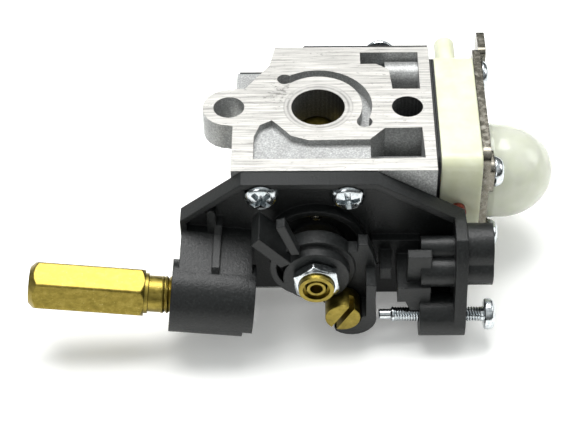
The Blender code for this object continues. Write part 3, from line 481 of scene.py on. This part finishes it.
def nylon_finish():
    """Glass-filled nylon, moulded black: satin, with a fine leathery grain from the mould. The
    real grain is about 0.1 mm, and is drawn at 0.38 mm so that it shows."""
    name = "glass-filled nylon, moulded black"
    material, add, place = start(name, IOR=1.5, Specular_IOR_Level=0.36)
    grain = add("TexNoise", {"Vector": place, "Scale": per(0.38), "Detail": 3, "Roughness": 0.6})
    tone = add("TexNoise", {"Vector": place, "Scale": per(5.0), "Detail": 2})
    blacks = [(0.35, "#0E0F0F"), (0.60, "#191B1B"), (0.75, "#2A2D2C")]
    colour = add("ValToRGB", [grain], stops=blacks)
    tone = add("MapRange", [tone, 0.35, 0.7, 0.0, 0.3])
    patchy = {SHARE: tone, FIRST: colour, SECOND: "#181A1A"}
    colour = add("Mix", patchy, MIXED, data_type="RGBA")
    rough = add("MapRange", [grain, 0.3, 0.7, 0.33, 0.5])
    return surfaced(material, colour, rough, grain, 0.8, 0.07, 0.35)


def ivory_finish():
    """Acetal, moulded ivory: waxy and slightly see-through at its edges, with clouds 3 mm wide
    and a few tan specks."""
    material, add, place = start(
        "acetal, moulded ivory",
        Roughness=0.36,
        Subsurface_Weight=0.2,
        Subsurface_Radius=(0.0012, 0.0010, 0.0006),
        Subsurface_Scale=1.0,
        IOR=1.48,
    )
    cloud = add("TexNoise", {"Vector": place, "Scale": per(3.0), "Detail": 3})
    colour = add("ValToRGB", [cloud], stops=[(0.35, "#D2D4B6"), (0.65, "#DDDFC6")])
    specks = add("TexNoise", {"Vector": place, "Scale": per(0.7), "Detail": 2})
    specks = add("MapRange", [specks, 0.74, 0.78, 0.0, 0.25])
    specked = {SHARE: specks, FIRST: colour, SECOND: "#B9A97C"}
    colour = add("Mix", specked, MIXED, data_type="RGBA")
    skin = add("TexNoise", {"Vector": place, "Scale": per(0.6), "Detail": 3})
    return surfaced(material, colour, None, skin, 0.15, 0.03, 0.6)


def brass_finish(name, stretch, worn=0.5):
    """Brass bar, turned or drawn: olive yellow with dull patches and bright specks, and fine
    lines one way, which are 0.2 mm wide, about twice the real width, so that they show."""
    material, add, place = start(name, Metallic=1.0)
    wide = add("Mapping", {"Vector": place, "Scale": (1 / 1.6, 1, 1)})
    patches = add("TexNoise", {"Vector": wide, "Scale": per(0.8), "Detail": 5, "Roughness": 0.7})
    olives = [(0.30, "#75672F"), (0.5, "#8D7D3A"), (0.72, "#A5944C")]
    colour = add("ValToRGB", [patches], stops=olives)
    specks = add("TexNoise", {"Vector": place, "Scale": per(0.35), "Detail": 2})
    specks = add("MapRange", [specks, 0.66, 0.74, 0.0, worn])
    specked = {SHARE: specks, FIRST: colour, SECOND: "#BFB070"}
    colour = add("Mix", specked, MIXED, data_type="RGBA")
    drawn = add("Mapping", {"Vector": place, "Scale": [1 / length for length in stretch]})
    lines = add("TexNoise", {"Vector": drawn, "Scale": per(0.2), "Detail": 3})
    rough = add("MapRange", [patches, 0.3, 0.7, 0.30, 0.46])
    return surfaced(material, colour, rough, lines, 0.3, 0.03, 0.08)


def plated_finish():
    """Bright zinc plate on steel: nearly a mirror, with a faint blue cast and 0.5 mm dull spots."""
    material, add, place = start("bright zinc plate", Metallic=1.0)
    spots = add("TexNoise", {"Vector": place, "Scale": per(0.5), "Detail": 4, "Roughness": 0.6})
    colour = add("ValToRGB", [spots], stops=[(0.35, "#B9C0C4"), (0.6, "#DDE1E3")])
    rough = add("MapRange", [spots, 0.35, 0.7, 0.12, 0.26])
    return surfaced(material, colour, rough, spots, 0.12, 0.04)


def steel_finish():
    """Plain steel strip: grey with a brown tinge, mottled at about 1 mm, brighter where rubbed."""
    material, add, place = start("zinc-washed steel strip", Metallic=1.0)
    tone = add("TexNoise", {"Vector": place, "Scale": per(1.1), "Detail": 3, "Roughness": 0.55})
    greys = [(0.35, "#6E6A5F"), (0.6, "#89857B"), (0.8, "#B3B0A8")]
    colour = add("ValToRGB", [tone], stops=greys)
    rough = add("MapRange", [tone, 0.3, 0.7, 0.18, 0.34])
    return surfaced(material, colour, rough, tone, 0.08, 0.03, 0.2)


def sheet_finish(name, dark, light, rough):
    """Rubber, gasket sheet and black-coated plate: matt, mottled at 0.5 mm."""
    material, add, place = start(name, Roughness=rough)
    mottle = add("TexNoise", {"Vector": place, "Scale": per(0.5), "Detail": 4})
    colour = add("ValToRGB", [mottle], stops=[(0.35, dark), (0.7, light)])
    return surfaced(material, colour, None, mottle, 0.3, 0.05)


def bulb_finish():
    """Soft polyurethane, milky and see-through: light spreads inside it, its skin is glossy, and
    its haze is uneven at 2.4 mm."""
    material, add, place = start(
        "polyurethane, milky",
        Roughness=0.14,
        Transmission_Weight=0.5,
        Subsurface_Weight=0.35,
        Subsurface_Radius=(0.003, 0.003, 0.0025),
        IOR=1.47,
    )
    haze = add("TexNoise", {"Vector": place, "Scale": per(2.4), "Detail": 3})
    colour = add("ValToRGB", [haze], stops=[(0.3, "#EEF1E0"), (0.7, "#F6F8EC")])
    return surfaced(material, colour, None, haze, 0.1, 0.1)


def cap_finish():
    """Dark red nylon, glossy, clouded at 0.8 mm."""
    material, add, place = start("dark red nylon", Roughness=0.25)
    tone = add("TexNoise", {"Vector": place, "Scale": per(0.8), "Detail": 2})
    colour = add("ValToRGB", [tone], stops=[(0.3, "#4A1510"), (0.7, "#7A2A1C")])
    return surfaced(material, colour)


ALUMINIUM = aluminium_finish()
NYLON = nylon_finish()
IVORY = ivory_finish()
BRASS_BAR = brass_finish("brass bar, drawn", (20, 1, 1))
BRASS_TURNED = brass_finish("brass, turned", (1, 12, 1), 0.2)
PLATED = plated_finish()
STEEL = steel_finish()
DARK_PLATE = sheet_finish("black-coated plate", "#17191A", "#2E3131", 0.42)
RUBBER = sheet_finish("nitrile rubber sheet", "#111212", "#222424", 0.6)
GASKET = sheet_finish("graphite gasket sheet", "#1D1E1E", "#3A3B3A", 0.7)
BULB = bulb_finish()
RED_CAP = cap_finish()

NODE_FINISHES = {
    "body": ALUMINIUM,
    "throttle_bracket": NYLON,
    "throttle_lever": NYLON,
    "purge_body": IVORY,
    "throttle_rotor": BRASS_TURNED,
    "mixture_needle": BRASS_TURNED,
    "cable_swivel": BRASS_TURNED,
    "cable_adjuster": BRASS_BAR,
    "fuel_nozzle": BRASS_TURNED,
    "inlet_needle": BRASS_TURNED,
    "lever_nut": PLATED,
    "idle_screw": PLATED,
    "bracket_screw_1": PLATED,
    "bracket_screw_2": PLATED,
    "plate_screw_1": PLATED,
    "plate_screw_2": PLATED,
    "plate_screw_3": PLATED,
    "plate_screw_4": PLATED,
    "pump_screw": PLATED,
    "retainer_plate": STEEL,
    "metering_lever": STEEL,
    "lever_pin": STEEL,
    "lever_spring": STEEL,
    "rotor_spring": STEEL,
    "cam_ball": STEEL,
    "inlet_screen": STEEL,
    "pump_cover": DARK_PLATE,
    "metering_diaphragm": RUBBER,
    "pump_diaphragm": RUBBER,
    "shaft_seal": RUBBER,
    "purge_valve": RUBBER,
    "metering_gasket": GASKET,
    "pump_gasket": GASKET,
    "primer_bulb": BULB,
    "limiter_cap": RED_CAP,
}
for node_name, node_finish in NODE_FINISHES.items():
    node_mesh = frame["nodes"][node_name].data
    node_mesh.materials.clear()
    node_mesh.materials.append(node_finish)


# ---------------------------------------------------------------- camera and light


def set_camera():
    """A long lens from the front, 45 degrees up, aimed beside and below the air face's middle."""
    yaw, pitch, roll = (math.radians(turn) for turn in (1.143, 45.25, -1.064))
    distance = 282.245  # millimetres from the middle of the air face
    image_width = 580
    focal, left, above = 1626.731, 28.291, -108.151  # the lens and its aim, on the same scale
    film = 36
    near, far = 0.01, 10

    data = bpy.data.cameras.new("camera")
    camera = bpy.data.objects.new("camera", data)
    bpy.context.scene.collection.objects.link(camera)
    back = Vector(
        (math.sin(yaw) * math.cos(pitch), -math.cos(yaw) * math.cos(pitch), math.sin(pitch))
    )
    right = (-back).cross(Vector((0, 0, 1))).normalized()
    up = right.cross(-back)
    right, up = (
        right * math.cos(roll) + up * math.sin(roll),
        up * math.cos(roll) - right * math.sin(roll),
    )
    place = back * distance - right * (left / focal * distance) + up * (above / focal * distance)
    place += Vector((0, 0, HEIGHT)) + Vector(SHIFT)
    matrix = Matrix((right, up, back)).transposed().to_4x4()
    matrix.translation = place * MM
    camera.matrix_world = matrix
    data.sensor_width = film
    data.lens = focal / image_width * film
    data.clip_start, data.clip_end = near, far
    bpy.context.scene.camera = camera


def area_light(name, place, size, power):
    """A white rectangle of light, in metres and watts, that faces the object."""
    data = bpy.data.lights.new(name, "AREA")
    data.shape = "RECTANGLE"
    data.size, data.size_y = size
    data.energy = power
    light = bpy.data.objects.new(name, data)
    light.location = place
    light.rotation_mode = "QUATERNION"
    light.rotation_quaternion = (LIT_POINT - Vector(place)).to_track_quat("-Z", "Y")
    bpy.context.scene.collection.objects.link(light)


def set_floor():
    """Plain pale paper under the flange, which glows a little so that no corner of it is grey."""
    reach, drop = 3.0, 0.0005
    corners = [(-reach, -reach, 0), (reach, -reach, 0), (reach, reach, 0), (-reach, reach, 0)]
    mesh = bpy.data.meshes.new("floor")
    mesh.from_pydata(corners, [], [(0, 1, 2, 3)])
    floor = bpy.data.objects.new("floor", mesh)
    floor.location.z = -drop
    bpy.context.scene.collection.objects.link(floor)
    paper, add, place = start("pale paper", Roughness=0.9, Emission_Strength=0.22)
    clouds = add("TexNoise", {"Vector": place, "Scale": per(30.0), "Detail": 3})
    colour = add("ValToRGB", [clouds], stops=[(0.3, "#F2F2F0"), (0.7, "#F8F8F6")])
    paper.node_tree.links.new(colour, paper.node_tree.nodes[SHADER].inputs["Emission Color"])
    mesh.materials.append(surfaced(paper, colour))


def set_room():
    """A room that is bright overhead and dark low down, so that metal has something to mirror."""
    world = bpy.data.worlds.new("room")
    bpy.context.scene.world = world
    world.use_nodes = True
    tree = world.node_tree
    background = tree.nodes["Background"]
    height = put(tree, "SeparateXYZ", [put(tree, "TexCoord", out="Generated")], "Z")
    greys = [(0.0, "#2C2E2E"), (0.35, "#6C7070"), (0.75, "#E4E8E8")]
    tree.links.new(put(tree, "ValToRGB", [height], stops=greys), background.inputs["Color"])
    background.inputs["Strength"].default_value = 0.8


LIT_POINT = Vector((0, 0, 0.01))

set_camera()
set_floor()
set_room()
area_light("softbox above", place=(-0.05, 0.16, 0.55), size=(0.5, 0.35), power=4.2)
area_light("front fill", place=(-0.25, -0.6, 0.3), size=(0.25, 0.3), power=0.5)
area_light("right fill", place=(0.6, 0.1, 0.3), size=(0.3, 0.3), power=0.7)
bpy.context.scene.view_settings.view_transform = "Standard"

BODY_OF = {
    node: body for body, nodes in frame["record"]["behaviour"]["bodies"].items() for node in nodes
}

# ---------------------------------------------------------------- castings and mouldings

# Each solid's edge radius in millimetres, and how many steps round it.
EDGES = {
    "body": (0.16, 2),
    "throttle_bracket": (0.3, 3),
    "throttle_lever": (0.28, 3),
    "purge_body": (0.55, 4),
    "retainer_plate": (0.18, 2),
    "pump_cover": (0.2, 2),
    "throttle_rotor": (0.1, 2),
    "mixture_needle": (0.1, 2),
    "limiter_cap": (0.25, 3),
}
for node, (width, segments) in EDGES.items():
    refined(node, width, segments)

# ---------------------------------------------------------------- screws and nut

# The centres of the screws: x and z for the bracket's, y and z for the stack's.
BRACKET_SCREWS = ((-9.7, 25.4), (4.9, 25.2))
STACK_SCREWS = ((-9.3, 22.2), (12.3, 25.4), (12.3, 3.6), (-9.3, 6.8))

# A gap under the heads on a pressed stack, the faces that the heads stand on, and each screw's
# head radius and height, shank radius and reach, and the turn of its recess.
GAP = 0.1
BRACKET_FACE, BRACKET_PAN, BRACKET_TURNS = -17.8, (3.05, 1.9, 1.4, 7.8), (0.75, 0.1)
PUMP_CENTRE, PUMP_FACE, PUMP_PAN, PUMP_TURN = (11.3, 25.0), 18.85, (2.9, 1.9, 1.25, 8.9), 0.3
PLATE_FACE, PLATE_RADIUS, PLATE_SHANK, PLATE_DEPTH, PLATE_TURN = 29.25, 2.7, 1.25, 13.0, 0.4
FRONT_LIFT, FRONT_HEIGHT, BACK_HEIGHT = 0.8, 1.9, 1.4

for number, (centre, turn) in enumerate(zip(BRACKET_SCREWS, BRACKET_TURNS), 1):
    node = f"bracket_screw_{number}"
    head = cross_head("Y", centre, BRACKET_FACE, -1, *BRACKET_PAN, turn)
    made(f"{node}_head", [head], node)
for number, centre in enumerate(STACK_SCREWS, 1):
    node = f"plate_screw_{number}"
    front = centre[0] < 0
    seat = PLATE_FACE + GAP + (FRONT_LIFT if front else 0)
    pan = (PLATE_RADIUS, FRONT_HEIGHT if front else BACK_HEIGHT, PLATE_SHANK, seat - PLATE_DEPTH)
    head = cross_head("X", centre, seat, 1, *pan, PLATE_TURN * number)
    made(f"{node}_head", [head], node)
head = cross_head("Y", PUMP_CENTRE, PUMP_FACE + GAP, 1, *PUMP_PAN, PUMP_TURN)
made("pump_screw_head", [head], "pump_screw")

NUT_ACROSS, NUT_BORE, NUT_MIDDLE = 7.3, 3.1, math.radians(8)
NUT_FRONT, NUT_BACK = -28.85, -26.95
hole = [(NUT_BACK, NUT_BORE), (NUT_FRONT, NUT_BORE)]
nut = hexagon("Y", (ROTOR_X, ROTOR_Z), NUT_ACROSS, (NUT_FRONT, NUT_BACK), NUT_MIDDLE, hole)
made("lever_nut_chamfered", [nut], "lever_nut")

# ---------------------------------------------------------------- turned pieces

# The cable adjuster: a hexagonal bar with a socket for the cable's sheath, a collar, a relieved
# neck and a threaded stem, with a way for the inner cable right through.
CABLE_AXIS = (CABLE_Y, SWIVEL_Z)
BAR_ACROSS, BAR_START, BAR_END, BAR_MIDDLE = 7.8, -49.3, -29.9, math.radians(41)
BAR_CHAMFERS, BAR_SLOPE = (0.2, 0.01), 0.95
SOCKET_FLOOR, SOCKET_RADIUS, CABLE_WAY = -41.3, 2.6, 1.0
STEM_START, STEM_END, STEM_STEPS = -29.95, -14.6, 56
COLLAR, NECK, CABLE_THREAD = 3.45, 3.1, 3.2
CABLE_SPAN, CABLE_DEPTH, CABLE_PITCH = (-26.9, -14.7), 0.36, 0.8

socket = [(BAR_END, CABLE_WAY), (SOCKET_FLOOR, CABLE_WAY)]
socket += [(SOCKET_FLOOR, SOCKET_RADIUS), (BAR_START, SOCKET_RADIUS)]
span = (BAR_START, BAR_END)
bar = hexagon("X", CABLE_AXIS, BAR_ACROSS, span, BAR_MIDDLE, socket, BAR_CHAMFERS, BAR_SLOPE)
neck = [(STEM_START, COLLAR), (-29.3, COLLAR), (-29.2, NECK), (-27.0, NECK)]
neck += [(CABLE_SPAN[0], CABLE_THREAD), (-15.0, CABLE_THREAD), (STEM_END, 2.9)]
way = [(STEM_END, CABLE_WAY), (STEM_START, CABLE_WAY)]
thread = (CABLE_SPAN, CABLE_DEPTH, CABLE_PITCH)
stem = threaded("X", CABLE_AXIS, neck, *thread, way, STEM_STEPS)
made("cable_adjuster_turned", [bar.moved(tilted), stem.moved(tilted)], "cable_adjuster")

# The idle screw: a plain point, the thread, and a round head with a rolled edge and a slot.
POINT, IDLE_THREAD, IDLE_HEAD = 0.9, 1.3, 2.7
IDLE_SPAN, IDLE_DEPTH, IDLE_PITCH = (12.6, 27.9), 0.2, 0.45
SLOT_FLOOR, SLOT_HALF, SLOT_REACH = 29.4, 0.35, 2.0

idle = [(10.2, 0.75), (10.4, POINT), (12.2, POINT), (12.5, IDLE_THREAD), (28.1, IDLE_THREAD)]
idle += [(28.2, 2.5), (28.35, IDLE_HEAD), (29.3, IDLE_HEAD)]
idle += [(29.6, 2.62), (29.85, 2.4), (30.0, 2.1), (30.1, 1.6)]
low = (SLOT_FLOOR, CABLE_Y - SLOT_REACH, IDLE_Z - SLOT_HALF)
high = (31, CABLE_Y + SLOT_REACH, IDLE_Z + SLOT_HALF)
screw = threaded("X", (CABLE_Y, IDLE_Z), idle, IDLE_SPAN, IDLE_DEPTH, IDLE_PITCH)
made("idle_screw_turned", [screw], "idle_screw", cuts=[box(low, high)])

# The cable swivel: a drum on a shank, with a slot across its front.
DRUM_RADIUS, SHANK_RADIUS, DRUM_EDGE, DRUM_STEPS = 3.0, 1.6, 0.18, 72
DRUM_FRONT, DRUM_BACK, SHANK_END = -29.5, -24.9, -21.7
SLOT_SLOPE = math.radians(60)


def across_the_drum(points):
    """A bar along X turned to the slot's slope and moved onto the swivel's axis."""
    x, y, z = points.T
    c, s = math.cos(SLOT_SLOPE), math.sin(SLOT_SLOPE)
    return np.stack((SWIVEL_X + x * c - z * s, y, SWIVEL_Z + x * s + z * c), 1)


drum = [(0, DRUM_FRONT), (DRUM_RADIUS, DRUM_FRONT), (DRUM_RADIUS, DRUM_BACK)]
drum += [(SHANK_RADIUS, DRUM_BACK), (SHANK_RADIUS, SHANK_END), (0, SHANK_END)]
drum = lathe("Y", (SWIVEL_X, SWIVEL_Z), drum, DRUM_STEPS, DRUM_EDGE)
slot = box((-5, -31, -0.5), (5, -26.7, 0.5)).moved(across_the_drum)
made("cable_swivel_turned", [drum], "cable_swivel", cuts=[slot])

# ---------------------------------------------------------------- primer bulb

# A dome on a short cylinder with a moulding seam, a flange at its foot and a small pip on its tip.
BULB_SHOULDER, BULB_TIP, BULB_RADIUS, BULB_WALL, BULB_STEPS = 32.2, 41.8, 8.4, 0.8, 96
FLANGE_RADIUS, FLANGE_FRONT, FLANGE_BACK = 9.2, 27.65, 26.4
PIP_HEIGHT, PIP_RADIUS = 0.12, 0.55

t = np.linspace(0, math.pi / 2, 28)
rise, inner = BULB_TIP - BULB_SHOULDER, BULB_RADIUS - BULB_WALL
dome = np.stack((BULB_RADIUS * np.sin(t), BULB_SHOULDER + rise * np.cos(t)), 1)
dome[:, 1] += PIP_HEIGHT * np.exp(-((dome[:, 0] / PIP_RADIUS) ** 2))
seam_out = BULB_RADIUS + 0.07
seam = [(BULB_RADIUS, 31.0), (seam_out, 30.8), (seam_out, 30.6), (BULB_RADIUS, 30.4)]
flange = [(BULB_RADIUS, FLANGE_FRONT + 0.1), (FLANGE_RADIUS, FLANGE_FRONT)]
flange += [(FLANGE_RADIUS, FLANGE_BACK), (inner, FLANGE_BACK)]
inside = np.stack((inner * np.sin(t), BULB_SHOULDER + (rise - BULB_WALL) * np.cos(t)), 1)
profile = np.concatenate((dome, seam, flange, inside[::-1]))
bulb = lathe("X", (BULB_Y, BULB_Z), profile, BULB_STEPS, 0)
bulb = made("primer_bulb_dome", [bulb], "primer_bulb", body="carburetor")
shortened(bulb)

# ---------------------------------------------------------------- springs

spring = refined("rotor_spring", body="carburetor")
shortened(spring)
spring = refined("lever_spring", body="carburetor")
shortened(spring)
